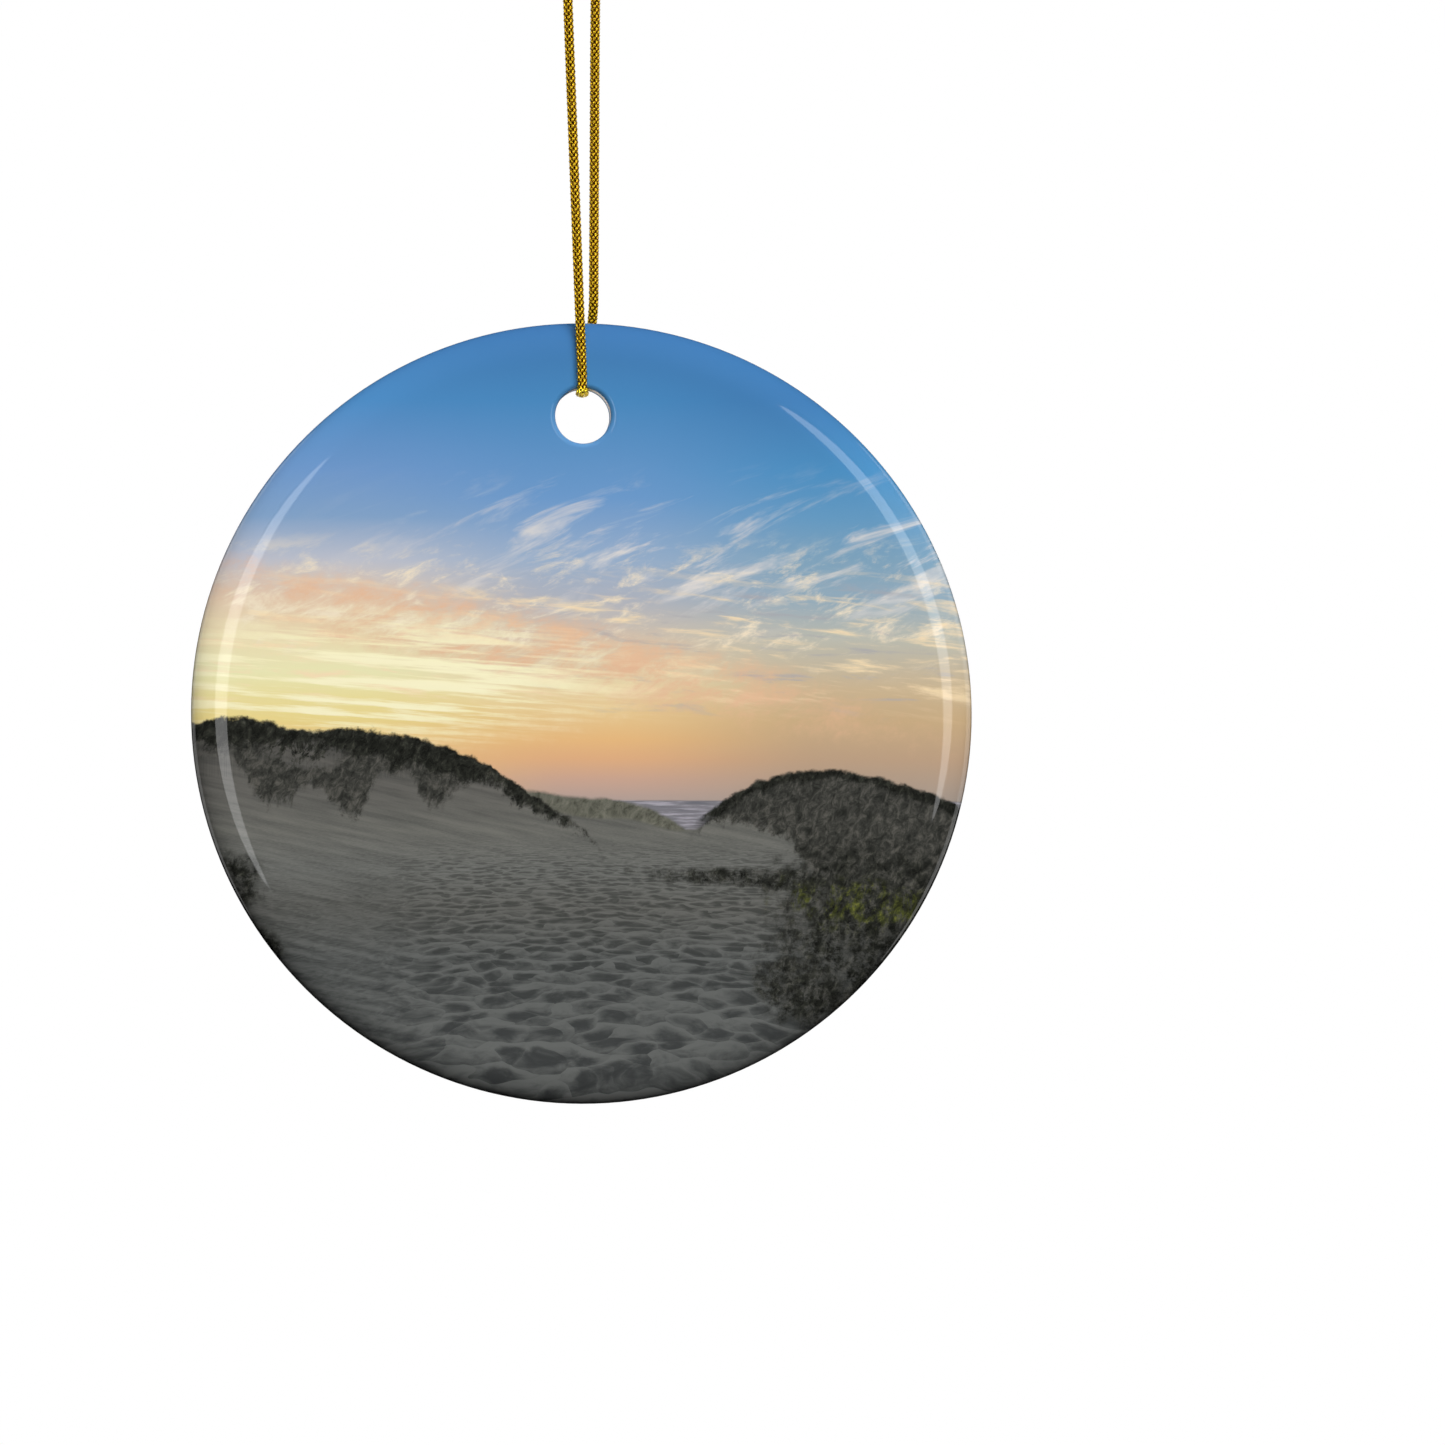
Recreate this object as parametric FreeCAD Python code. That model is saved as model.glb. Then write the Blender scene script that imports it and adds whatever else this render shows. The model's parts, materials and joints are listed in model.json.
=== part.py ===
# A round ceramic ornament on a loop of gold cord.
#
# Row frame, in millimetres: +Z is up, and the printed front faces -Y. The origin is the
# axis of the hook or twig that the top of the cord loop hangs over. That axis runs along Y.
# The disc hangs straight below it, with its hole's axis along Y as well.

import math
import os

import FreeCAD
import Part

Vec = FreeCAD.Vector

# ---- the ceramic blank ----
disc_diameter = 70.0  # across the bare rim
disc_thickness = 3.0  # over both print coats
shoulder_width = 3.2  # from the rim in to where the flat face starts
hole_diameter = 5.1  # the bare wall of the cord hole
hole_to_rim = 5.8  # ceramic left above the hole
hole_edge_radius = 0.4  # rounding of the hole's two edges

# ---- the print coats ----
coat_thickness = 0.08
coat_parting = 0.1  # bare line round the rim, between the two coats
coat_into_hole = 0.6  # how far down the hole's rounded edge the coats reach, as a share

# ---- the hook that the loop is shaped for (it isn't part of the ornament) ----
hook_diameter = 4.0
hook_to_hole = 78.0  # from the hook's axis down to the hole's centre

# ---- the cord ----
cord_diameter = 0.95
cord_gap = 0.06  # between the cord and the coated ceramic that it bears on
bend_sag = 0.03  # how far the middle of the cord hangs below its ends in the hole
knot_diameter = 4.0
knot_height = 4.4
knot_end_diameter = 2.6  # the flat that the strands enter and leave through
knot_lift = 5.6  # from the hook's axis up to the knot
strand_gap = 0.15  # between the two strands where they enter the knot
tail_length = 9.5  # how far the tails stand above the knot
twist_height = -8.0  # the level at which the twisting strands leave the loop's top
bend_height = 2.4  # the cord's bend in the hole ends this far above the hole's top

# ---- worked out from the sizes above ----
disc_radius = disc_diameter / 2
hole_radius = hole_diameter / 2
core_half = disc_thickness / 2 - coat_thickness  # half the bare ceramic's thickness
flat_radius = disc_radius - shoulder_width
hole_z = -hook_to_hole
disc_z = hole_z + hole_radius + hole_to_rim - disc_radius
cord_radius = cord_diameter / 2
strand_y = disc_thickness / 2 + cord_gap + cord_radius  # a strand's centre, off the face
cord_sweep = hole_edge_radius + coat_thickness + cord_gap + cord_radius  # round the hole's edge
edge_y, edge_z = core_half - hole_edge_radius, hole_z + hole_radius + hole_edge_radius
edge_step = cord_sweep * math.tan(math.radians(22.5))  # an eighth of the way round that edge
bend_z = edge_z - cord_sweep  # the cord's centre in the hole
rim_z = disc_z + disc_radius
leg_x = hook_diameter / 2 + cord_radius  # a leg's centre, beside the hook
knot_top = knot_lift + knot_height

# The cord's route, from the knot down in front of the disc, through the hole and back up
# behind it. The two strands lean apart as they rise, the front one to the left. Round each
# edge of the hole the points stand on a circle about the edge's own rounding.
half_step = (cord_diameter + strand_gap) / 2
front_route = [
    (-half_step, -0.15, knot_lift),
    (-half_step, -0.15, knot_lift - 2.7),
    (-leg_x, -0.30, 0.9),
    (-1.80, -1.15, hole_z + 48.0),
    (-0.35, -strand_y, rim_z + 0.7),
    (-0.14, -strand_y, edge_z + 1.5),
    (-0.10, -strand_y, edge_z - edge_step),
    (-0.06, -edge_y - edge_step, bend_z),
]
back_route = [
    (0.06, edge_y + edge_step, bend_z),
    (0.12, strand_y, edge_z - edge_step),
    (0.30, strand_y, edge_z + 1.5),
    (1.14, strand_y, rim_z + 0.7),
    (1.25, 1.15, hole_z + 48.0),
    (leg_x, 0.30, 0.9),
    (half_step, 0.15, knot_lift - 2.7),
    (half_step, 0.15, knot_lift),
]
loop_route = front_route + [(0.0, 0.0, bend_z - bend_sag)] + back_route
front_tail_route = [
    (-half_step, -0.15, knot_top),
    (-half_step, -0.15, knot_top + 0.25 * tail_length),
    (-1.65, -0.35, knot_top + 0.65 * tail_length),
    (-2.05, -0.90, knot_top + tail_length),
]
back_tail_route = [
    (half_step, 0.15, knot_top),
    (half_step, 0.15, knot_top + 0.22 * tail_length),
    (1.45, 0.70, knot_top + 0.58 * tail_length),
    (2.35, 0.85, knot_top + 0.9 * tail_length),
]


def tangent_path(points):
    """Straight runs between the points, joined by the largest even tangent arcs.

    Returns the wire and the list of arc radii.
    """
    points = [Vec(*p) for p in points]
    edges, radii, last = [], [], points[0]
    for before, corner, after in zip(points, points[1:], points[2:]):
        way_in, way_out = corner - before, after - corner
        cut = 0.45 * min(way_in.Length, way_out.Length)
        half_turn = way_in.getAngle(way_out) / 2
        way_in.normalize()
        way_out.normalize()
        arc_start, arc_end = corner - way_in * cut, corner + way_out * cut
        radius = cut / math.tan(half_turn)
        inward = way_out - way_in
        inward.normalize()
        sagitta_point = corner + inward * (radius / math.cos(half_turn) - radius)
        edges.append(Part.LineSegment(last, arc_start).toShape())
        edges.append(Part.Arc(arc_start, sagitta_point, arc_end).toShape())
        radii.append(radius)
        last = arc_end
    edges.append(Part.LineSegment(last, points[-1]).toShape())
    return Part.Wire(edges), radii


def cord_tube(name, points):
    """A round tube along the points, checked against its section times its length."""
    path, radii = tangent_path(points)
    start, way = Vec(*points[0]), Vec(*points[1]) - Vec(*points[0])
    section = Part.Wire(Part.Circle(start, way, cord_radius).toShape())
    tube = path.makePipeShell([section], True, False)
    expected = math.pi * cord_radius**2 * path.Length
    print(f"{name}: {path.Length:.1f} mm long, volume {tube.Volume:.2f}, expected {expected:.2f} mm3")
    print("  radii in mm:", ", ".join(f"{r:.1f}" for r in radii))
    return tube


def between(shape, low_z, high_z):
    """The solids of shape from low_z to high_z, the leftmost first."""
    wide = disc_diameter
    slab = Part.makeBox(2 * wide, 2 * wide, high_z - low_z, Vec(-wide, -wide, low_z))
    return sorted(shape.common(slab).Solids, key=lambda solid: solid.CenterOfMass.x)


def rounded_disc(radius, half_thickness, shoulder):
    """A disc on the disc's own axis whose shoulder is a half ellipse from face to face."""
    flat = radius - shoulder
    wide, tall = Vec(shoulder, 0, 0), Vec(0, half_thickness, 0)
    if shoulder > half_thickness:
        oval = Part.Ellipse(wide, tall, Vec(0, 0, 0))
        quarter = -math.pi / 2
    else:
        oval = Part.Ellipse(tall, wide * -1, Vec(0, 0, 0))
        quarter = -math.pi
    oval.translate(Vec(flat, 0, 0))
    edge = Part.ArcOfEllipse(oval, quarter, quarter + math.pi).toShape()
    corners = [Vec(flat, half_thickness, 0), Vec(0, half_thickness, 0)]
    corners += [Vec(0, -half_thickness, 0), Vec(flat, -half_thickness, 0)]
    outline = Part.Wire([edge] + Part.makePolygon(corners).Edges)
    solid = Part.Face(outline).revolve(Vec(0, 0, 0), Vec(0, 1, 0), 360)
    solid.translate(Vec(0, 0, disc_z))
    return solid


def flared_hole(radius, half_thickness, edge_radius):
    """The cutter for a cord hole with rounded edges, on the hole's axis."""
    past = 1.0
    lip = radius + edge_radius
    arc_z = half_thickness - edge_radius
    turn = edge_radius * math.sqrt(0.5)
    edges = []
    for side in (-1, 1):
        start = Vec(radius, side * arc_z, 0)
        middle = Vec(lip - turn, side * (arc_z + turn), 0)
        end = Vec(lip, side * half_thickness, 0)
        edges.append(Part.Arc(start, middle, end).toShape())
        outside = side * (half_thickness + past)
        corners = [end, Vec(lip, outside, 0), Vec(0, outside, 0)]
        edges += Part.makePolygon(corners).Edges
    edges.append(Part.LineSegment(Vec(radius, -arc_z, 0), Vec(radius, arc_z, 0)).toShape())
    ends = [Vec(0, side * (half_thickness + past), 0) for side in (-1, 1)]
    edges.append(Part.LineSegment(*ends).toShape())
    outline = Part.Wire(Part.__sortEdges__(edges))
    cutter = Part.Face(outline).revolve(Vec(0, 0, 0), Vec(0, 1, 0), 360)
    cutter.translate(Vec(0, 0, hole_z))
    return cutter


def ceramic_disc():
    blank = rounded_disc(disc_radius, core_half, shoulder_width)
    return blank.cut(flared_hole(hole_radius, core_half, hole_edge_radius))


def print_coat(side):
    """The thin coat on one face: side -1 is the front, 1 the back."""
    outer = rounded_disc(disc_radius + coat_thickness, core_half + coat_thickness,
                         shoulder_width + coat_thickness)
    outer = outer.cut(flared_hole(hole_radius - coat_thickness, core_half + coat_thickness,
                                  hole_edge_radius + coat_thickness))
    skin = outer.cut(rounded_disc(disc_radius, core_half, shoulder_width))
    lips = flared_hole(hole_radius, core_half, hole_edge_radius)
    skin = skin.fuse(outer.common(lips))
    width = 2 * disc_diameter
    low_y = coat_parting / 2 if side > 0 else -disc_thickness
    half = Part.makeBox(width, disc_thickness - coat_parting / 2, width,
                        Vec(-width / 2, low_y, disc_z - width / 2))
    skin = skin.common(half)
    reach = core_half - coat_into_hole * hole_edge_radius
    wall = Part.makeCylinder(hole_radius + hole_edge_radius, 2 * reach, Vec(0, -reach, hole_z), Vec(0, 1, 0))
    return skin.cut(wall).removeSplitter()


def knot():
    """The lump of the overhand knot, with a flat at each end for the strands."""
    end, wide = knot_end_diameter / 2, knot_diameter / 2
    side = Part.Arc(Vec(end, 0, knot_lift), Vec(wide, 0, knot_lift + knot_height / 2), Vec(end, 0, knot_top))
    corners = [Vec(end, 0, knot_top), Vec(0, 0, knot_top), Vec(0, 0, knot_lift), Vec(end, 0, knot_lift)]
    outline = Part.Wire([side.toShape()] + Part.makePolygon(corners).Edges)
    return Part.Face(outline).revolve(Vec(0, 0, 0), Vec(0, 0, 1), 360)


loop = cord_tube("cord loop", loop_route)
bend_top = hole_z + hole_radius + bend_height
hole_bend = between(loop, hole_z, bend_top)[0]
front_strand, back_strand = between(loop, bend_top, twist_height)
front_leg, back_leg = between(loop, twist_height, knot_lift)
nodes = {
    "ceramic_disc": ceramic_disc(),
    "front_print_coat": print_coat(-1),
    "back_print_coat": print_coat(1),
    "cord_hole_bend": hole_bend,
    "cord_front_strand": front_strand,
    "cord_back_strand": back_strand,
    "cord_front_leg": front_leg,
    "cord_back_leg": back_leg,
    "cord_knot": knot(),
    "cord_front_tail": cord_tube("front tail", front_tail_route),
    "cord_back_tail": cord_tube("back tail", back_tail_route),
}

os.makedirs("parts", exist_ok=True)
for name, shape in nodes.items():
    print(f"{name}: {len(shape.Solids)} solid, {shape.Volume:.2f} mm3, valid {shape.isValid()}")
    shape.Solids[0].exportStep(f"parts/{name}.step")
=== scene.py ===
# %% [markdown]
# # A printed ceramic ornament on a gold cord
#
# The object is a flat round plate of fired white ceramic with a small hole near its top.
# A thin glossy coat on each face carries a picture of dunes at sunset, and one length of
# braided gold cord passes through the hole and is knotted into a loop. Every size and joint
# is already settled in the model, so this script loads that model as a frame and
# only makes what the eye sees: smooth glazed shells, real braided yarns, and materials.

# %% Load the frame
import json
import math

import bmesh
import bpy
from mathutils import Matrix, Vector


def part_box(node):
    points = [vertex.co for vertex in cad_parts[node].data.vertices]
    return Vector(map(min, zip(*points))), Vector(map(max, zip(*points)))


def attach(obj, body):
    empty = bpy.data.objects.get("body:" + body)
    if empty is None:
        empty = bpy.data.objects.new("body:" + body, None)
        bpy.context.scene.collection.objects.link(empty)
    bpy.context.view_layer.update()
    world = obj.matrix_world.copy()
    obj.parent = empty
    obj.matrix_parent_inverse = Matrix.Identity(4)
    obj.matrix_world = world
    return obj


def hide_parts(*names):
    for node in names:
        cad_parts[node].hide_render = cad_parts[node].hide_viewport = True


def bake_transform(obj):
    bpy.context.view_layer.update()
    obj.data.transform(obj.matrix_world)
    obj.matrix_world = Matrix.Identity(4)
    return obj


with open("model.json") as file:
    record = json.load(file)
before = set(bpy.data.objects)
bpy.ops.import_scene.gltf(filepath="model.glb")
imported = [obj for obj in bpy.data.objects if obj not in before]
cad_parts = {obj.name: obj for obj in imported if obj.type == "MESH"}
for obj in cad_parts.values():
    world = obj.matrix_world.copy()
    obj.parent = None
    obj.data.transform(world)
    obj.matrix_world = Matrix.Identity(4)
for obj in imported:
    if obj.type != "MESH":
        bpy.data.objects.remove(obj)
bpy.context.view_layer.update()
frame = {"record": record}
MM = 0.001

# %% [markdown]
# ## Where things are
#
# The plate's centre, radius and thickness come from its box in the frame, and the hole's
# centre is where the swing joint turns. The frame holds no radius for the hole, so that one
# size is repeated here.

# %% Read the places and sizes
low, high = (Vector(corner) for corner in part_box("ceramic_disc"))
disc_centre = (low + high) / 2
disc_radius = (high.x - low.x) / 2
core_half = (high.y - low.y) / 2
joints = {joint["name"]: joint for joint in frame["record"]["behaviour"]["joints"]}
hole_centre = Vector(joints["disc_swing"]["pos_m"])
HOLE_RADIUS = 2.55 * MM
knot_low, knot_high = (Vector(corner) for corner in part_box("cord_knot"))
print(f"plate {disc_radius * 2000:.1f} mm wide, centre {tuple(round(c, 4) for c in disc_centre)}")
print(f"hole {tuple(round(c, 4) for c in hole_centre)}, knot from {knot_low.z:.4f} to {knot_high.z:.4f}")

# %% [markdown]
# ## The camera
#
# A long lens looks from a little left of the plate's axis and a little below it, so the
# plate looks almost perfectly round. A short lens up close would swell its middle. The
# plate fills a bit over half of the view's width and sits left of its middle, so the
# camera aims past it.

# %% Place the camera
VIEW_AZIMUTH, VIEW_ELEVATION = math.radians(-3.8), math.radians(-3.3)
CAMERA_DISTANCE = 1.2
VIEW_WIDTH = 1.8525 * 2 * disc_radius
AIM_RIGHT, AIM_DOWN = 0.180 * 2 * disc_radius, 0.0122 * 2 * disc_radius


def direction(azimuth, elevation):
    """The way from the object to something at that azimuth and elevation, in radians."""
    flat = math.cos(elevation)
    return Vector((math.sin(azimuth) * flat, -math.cos(azimuth) * flat, math.sin(elevation)))


def face_towards(thing, target):
    thing.rotation_euler = (target - thing.location).to_track_quat("-Z", "Y").to_euler()


back = direction(VIEW_AZIMUTH, VIEW_ELEVATION)
view_right = Vector((0, 0, 1)).cross(back).normalized()
view_up = back.cross(view_right)
aim = disc_centre + view_right * AIM_RIGHT - view_up * AIM_DOWN
camera = bpy.data.objects.new("camera", bpy.data.cameras.new("camera"))
bpy.context.collection.objects.link(camera)
camera.location = aim + back * CAMERA_DISTANCE
face_towards(camera, aim)
camera.data.lens = camera.data.sensor_width * CAMERA_DISTANCE / VIEW_WIDTH
camera.data.clip_start, camera.data.clip_end = 0.1, 20
bpy.context.scene.camera = camera
print(f"lens {camera.data.lens:.0f} mm at {CAMERA_DISTANCE} m")

# %% [markdown]
# ## The cord's line
#
# The real cord is one limp braid, pulled taut by the plate's weight. Its line is a smooth
# spline with the same points as the model's tube: out of the knot, round the hook
# that it hangs over, down in front of the plate, through the hole and up behind it. A
# NURBS spline of order 3 stays tangent to every run between points, so it never wiggles.
# The same two steps serve the knot and the tails: draw the spline, then space it evenly.

# %% Draw the cord's line and space it evenly
FRONT_ROUTE = [
    (-0.55, -0.15, 5.6),
    (-0.55, -0.15, 2.9),
    (-2.475, -0.30, 0.9),
    (-2.35, -0.457, -4.8),
    (-1.80, -1.15, -30.0),
    (-0.514, -1.935, -64.55),
    (-0.35, -2.035, -68.95),
    (-0.14, -2.035, -73.55),
    (-0.10, -2.035, -75.470),
    (-0.06, -1.440, -76.065),
]
BACK_ROUTE = [
    (0.06, 1.440, -76.065),
    (0.12, 2.035, -75.470),
    (0.30, 2.035, -73.55),
    (1.14, 2.035, -68.95),
    (1.152, 1.935, -64.55),
    (1.25, 1.15, -30.0),
    (2.249, 0.457, -4.8),
    (2.475, 0.30, 0.9),
    (0.55, 0.15, 2.9),
    (0.55, 0.15, 5.6),
]
LOOP_ROUTE = FRONT_ROUTE + [(0.0, 0.0, -76.095)] + BACK_ROUTE


def smooth_line(name, route):
    """Points along the NURBS spline whose control points are the route, given in mm."""
    curve = bpy.data.curves.new(name, "CURVE")
    curve.dimensions = "3D"
    curve.resolution_u = 32
    spline = curve.splines.new("NURBS")
    spline.points.add(len(route) - 1)
    for point, place in zip(spline.points, route):
        point.co = (*(Vector(place) * MM), 1)
    spline.order_u = 3
    spline.use_endpoint_u = True
    holder = bpy.data.objects.new(name, curve)
    bpy.context.collection.objects.link(holder)
    drawn = bpy.data.meshes.new_from_object(holder)
    points = [vertex.co.copy() for vertex in drawn.vertices]
    bpy.data.objects.remove(holder)
    return points


def evenly_spaced(points, step):
    """The same line again, with its points about a step apart."""
    runs = [(b - a).length for a, b in zip(points, points[1:])]
    count = max(2, round(sum(runs) / step))
    spaced, passed, index = [], 0.0, 0
    for number in range(count + 1):
        wanted = sum(runs) * number / count
        while index < len(runs) - 1 and passed + runs[index] < wanted:
            passed += runs[index]
            index += 1
        share = min(1.0, (wanted - passed) / max(runs[index], 1e-12))
        spaced.append(points[index].lerp(points[index + 1], share))
    return spaced


def line_length(points):
    return sum((b - a).length for a, b in zip(points, points[1:]))


loop_line = smooth_line("loop line", LOOP_ROUTE)
print(f"the loop's line is {line_length(loop_line) * 1000:.1f} mm long")

# %% [markdown]
# ## Plaiting the cord
#
# The cord is a plain-weave round braid: six yarns wind one way and six the other, and
# each passes over one and under the next. From the side that makes the little chevrons
# of a gift cord, here one every 0.58 mm. The yarns could be a bump pattern on a tube, but
# real yarns catch the light at their own angles and give the cord its knobbly outline, so
# each one is a thin flattened tube on a helix. A plain core fills the braid's middle. Each
# point stores how far out it lies, because the yarns' crowns shine and their gaps are dark,
# and the cord's colour paints that in: painted shade in the gaps, a painted highlight on the crowns.

# %% Plait yarns round a line
CORD_DIAMETER = 0.95 * MM
STITCH = 0.58 * MM
YARNS_EACH_WAY = 6
TURN = YARNS_EACH_WAY * STITCH
STEPS_IN_A_TURN = 24
YARN_SIDES = 5
YARN_HALF_WIDTH = 0.135 * MM
YARN_HALF_THICKNESS = 0.085 * MM
WEAVE_DEPTH = 0.065 * MM
# The crowns reach just as far out as the cord's real diameter, and clear the coats.
YARN_ORBIT = CORD_DIAMETER / 2 - YARN_HALF_THICKNESS - WEAVE_DEPTH
CORE_RADIUS = 0.26 * MM


def frames_along(points):
    """A tangent, and two directions across it that don't spin, at each point."""
    frames = []
    across = Vector((0, 1, 0)) if abs((points[1] - points[0]).normalized().y) < 0.9 else Vector((1, 0, 0))
    for before, after in zip([points[0], *points[:-1]], [*points[1:], points[-1]]):
        tangent = (after - before).normalized()
        across = (across - tangent * across.dot(tangent)).normalized()
        frames.append((tangent, across, tangent.cross(across)))
    return frames


def add_tube(mesh, lift, line, rings):
    """Skin a list of rings of points, close both ends, and note each point's lift."""
    made = []
    for centre, ring in zip(line, rings):
        made.append([mesh.verts.new(place) for place in ring])
        for vertex in made[-1]:
            vertex[lift] = (vertex.co - centre).length / (CORD_DIAMETER / 2)
    sides = len(made[0])
    for first, second in zip(made, made[1:]):
        for side in range(sides):
            following = (side + 1) % sides
            mesh.faces.new((first[side], first[following], second[following], second[side]))
    mesh.faces.new(made[0][::-1])
    mesh.faces.new(made[-1])


def yarn_rings(line, frames, way, phase):
    """The rings of one yarn: way is 1 or -1, phase where it starts round the cord."""
    rings = []
    for number, (centre, (tangent, across, third)) in enumerate(zip(line, frames)):
        turn = 2 * math.pi * number / STEPS_IN_A_TURN
        angle = way * turn + phase
        outward = across * math.cos(angle) + third * math.sin(angle)
        sideways = tangent.cross(outward)
        slope = math.atan(2 * math.pi * YARN_ORBIT / TURN)
        along = tangent * math.cos(slope) + sideways * (way * math.sin(slope))
        width_way = along.cross(outward)
        orbit = YARN_ORBIT + way * WEAVE_DEPTH * math.cos(YARNS_EACH_WAY * turn)
        ring = []
        for side in range(YARN_SIDES):
            turn_round = 2 * math.pi * side / YARN_SIDES
            ring.append(
                centre
                + outward * (orbit + YARN_HALF_THICKNESS * math.cos(turn_round))
                + width_way * (-YARN_HALF_WIDTH * math.sin(turn_round))
            )
        rings.append(ring)
    return rings


CORE_SIDES = 8


def core_rings(line, frames):
    rings = []
    for centre, (_, across, third) in zip(line, frames):
        ring = []
        for side in range(CORE_SIDES):
            angle = 2 * math.pi * side / CORE_SIDES
            ring.append(centre + (across * math.cos(angle) + third * math.sin(angle)) * CORE_RADIUS)
        rings.append(ring)
    return rings


def plaited_cord(name, lines):
    """One piece of braided cord that follows each of the lines."""
    data = bpy.data.meshes.new(name)
    mesh = bmesh.new()
    lift = mesh.verts.layers.float.new("lift")
    for points in lines:
        line = evenly_spaced(points, TURN / STEPS_IN_A_TURN)
        frames = frames_along(line)
        add_tube(mesh, lift, line, core_rings(line, frames))
        for way in (1, -1):
            for yarn in range(YARNS_EACH_WAY):
                phase = 2 * math.pi * yarn / YARNS_EACH_WAY
                add_tube(mesh, lift, line, yarn_rings(line, frames, way, phase))
    bmesh.ops.recalc_face_normals(mesh, faces=mesh.faces)
    mesh.to_mesh(data)
    mesh.free()
    data.shade_smooth()
    piece = bpy.data.objects.new(name, data)
    bpy.context.collection.objects.link(piece)
    print(f"{name}: {len(data.polygons)} faces")
    return piece


cord_loop = plaited_cord("cord_loop", [loop_line])

# %% [markdown]
# ## The cord where it carries the plate
#
# The plate hangs on the few millimetres of cord inside the hole, which are squeezed wider
# and flatter there, and the stretched yarns shine more. A lattice could squeeze them, but
# moving the points below the top of the hole's wall does the same in a few lines: up by a
# share of their depth, and apart.

# %% Press the cord into the hole
PRESS_START = 0.10 * MM
PRESS_DEPTH = 0.4 * MM
PRESS_RISE = 0.34
PRESS_SPREAD = 0.28
# How far the lift of the squeezed yarns is raised, so that the cord's colour paints them brighter: a painted
# highlight.
PRESS_SHINE = 0.24
press_top = hole_centre.z + HOLE_RADIUS - PRESS_START
lifts = cord_loop.data.attributes["lift"].data
pressed_points = 0
for vertex in cord_loop.data.vertices:
    below = press_top - vertex.co.z
    if below > 0:
        pressed = min(1.0, below / PRESS_DEPTH)
        vertex.co.z += PRESS_RISE * below
        vertex.co.x *= 1 + PRESS_SPREAD * pressed
        # Raising the lift paints these points brighter gold, a painted highlight.
        lifts[vertex.index].value += PRESS_SHINE * pressed
        pressed_points += 1
print(f"{pressed_points} points pressed flatter in the hole")
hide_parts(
    "cord_front_leg", "cord_back_leg", "cord_front_strand", "cord_back_strand", "cord_hole_bend",
)
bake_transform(cord_loop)

# %% [markdown]
# ## The knot and the tails
#
# Both ends of the cord are tied together in one overhand knot: side by side they rise,
# wrap once round themselves and tuck up through their own turn, then stand out of the top
# as two short tails. The knot is two lines about one cord apart, plaited like the loop, so
# that it reads as tied cord from every side and not as a bead.

# %% Tie the knot
knot_middle = (knot_low.z + knot_high.z) / 2 / MM
KNOT_WRAP = [
    (0.10, 0.55, -0.95),
    (1.05, 0.85, 0.10),
    (1.35, -0.35, 0.85),
    (0.25, -1.40, 0.75),
    (-1.20, -0.90, 0.15),
    (-1.30, 0.55, -0.55),
    (-0.10, 1.30, -0.70),
    (0.95, 0.35, -0.15),
    (0.35, -0.45, 0.55),
]
SECOND_CORD_DROP = 0.90
TAIL_RISE = {
    "front": [(-0.55, -0.15, 2.2), (-0.55, -0.15, 4.6), (-1.65, -0.35, 8.3), (-2.05, -0.90, 11.5)],
    "back": [(0.55, 0.15, 2.2), (0.55, 0.15, 4.3), (1.45, 0.70, 7.7), (2.20, 0.85, 10.5)],
}


def knotted_end(side, sign, drop):
    """One end of the cord: in at the knot's bottom, round, and out as a tail."""
    entry = [(sign * 0.55, sign * 0.15, -2.6), (sign * 0.50, sign * 0.15, -1.8)]
    wrap = [(x, y, z - drop) for x, y, z in KNOT_WRAP]
    return [(x, y, z + knot_middle) for x, y, z in entry + wrap + TAIL_RISE[side]]


ends = {"front": knotted_end("front", -1, 0.0), "back": knotted_end("back", 1, SECOND_CORD_DROP)}
end_pieces = []
for side, route in ends.items():
    piece = plaited_cord(f"knotted_{side}_end", [smooth_line(side, route)])
    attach(piece, "loop_top")
    end_pieces.append(piece)
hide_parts("cord_front_tail", "cord_knot")
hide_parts("cord_back_tail")

# %% [markdown]
# ## The plate and its coats
#
# The plate is pressed from one slab: two flat faces, a shoulder that rounds over to the
# rim like half an ellipse, and a hole with softly rounded edges. A glossy piece shows
# every facet, so it isn't a scaled cylinder: two circles are bridged into a flat face, and
# each edge is then extruded ring by ring along its own curve. A narrow ring of flat face
# beside each curve keeps the big face's reflections perfectly flat. The plate is half
# modelled and mirrored. Each coat is the same form a little bigger, given its thickness.

# %% Press the plate and coat it
SHOULDER = 3.2 * MM
HOLE_EDGE = 0.4 * MM
COAT = 0.08 * MM
PARTING = 0.1 * MM
COAT_INTO_HOLE = 0.6
FLAT_RING = 0.06 * MM
AROUND = 192
SHOULDER_STEPS = 20
HOLE_STEPS = 8


def add_circle(centre, radius, y):
    bpy.ops.mesh.primitive_circle_add(vertices=AROUND, radius=radius, location=(centre.x, y, centre.z),
                                      rotation=(math.pi / 2, 0, 0))


def choose_ring(piece, centre, radius):
    """Select only the points of the open piece that lie on a circle."""
    mesh = bmesh.from_edit_mesh(piece.data)
    for vertex in mesh.verts:
        away = math.hypot(vertex.co.x - centre.x, vertex.co.z - centre.z)
        vertex.select = abs(away - radius) < 0.01 * MM
    mesh.select_flush_mode()
    bmesh.update_edit_mesh(piece.data)


def draw_out(piece, centre, radius, y, profile):
    """Extrude a ring along a profile of (radius, y) steps."""
    choose_ring(piece, centre, radius)
    for new_radius, new_y in profile:
        bpy.ops.mesh.extrude_region_move()
        grow = new_radius / radius
        bpy.ops.transform.resize(value=(grow, 1, grow), center_override=(centre.x, y, centre.z))
        bpy.ops.transform.translate(value=(0, new_y - y, 0))
        radius, y = new_radius, new_y


def quarter(steps, last):
    """Angles from just above zero up to the last one, evenly spaced."""
    return [last * (step + 1) / steps for step in range(steps)]


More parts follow.
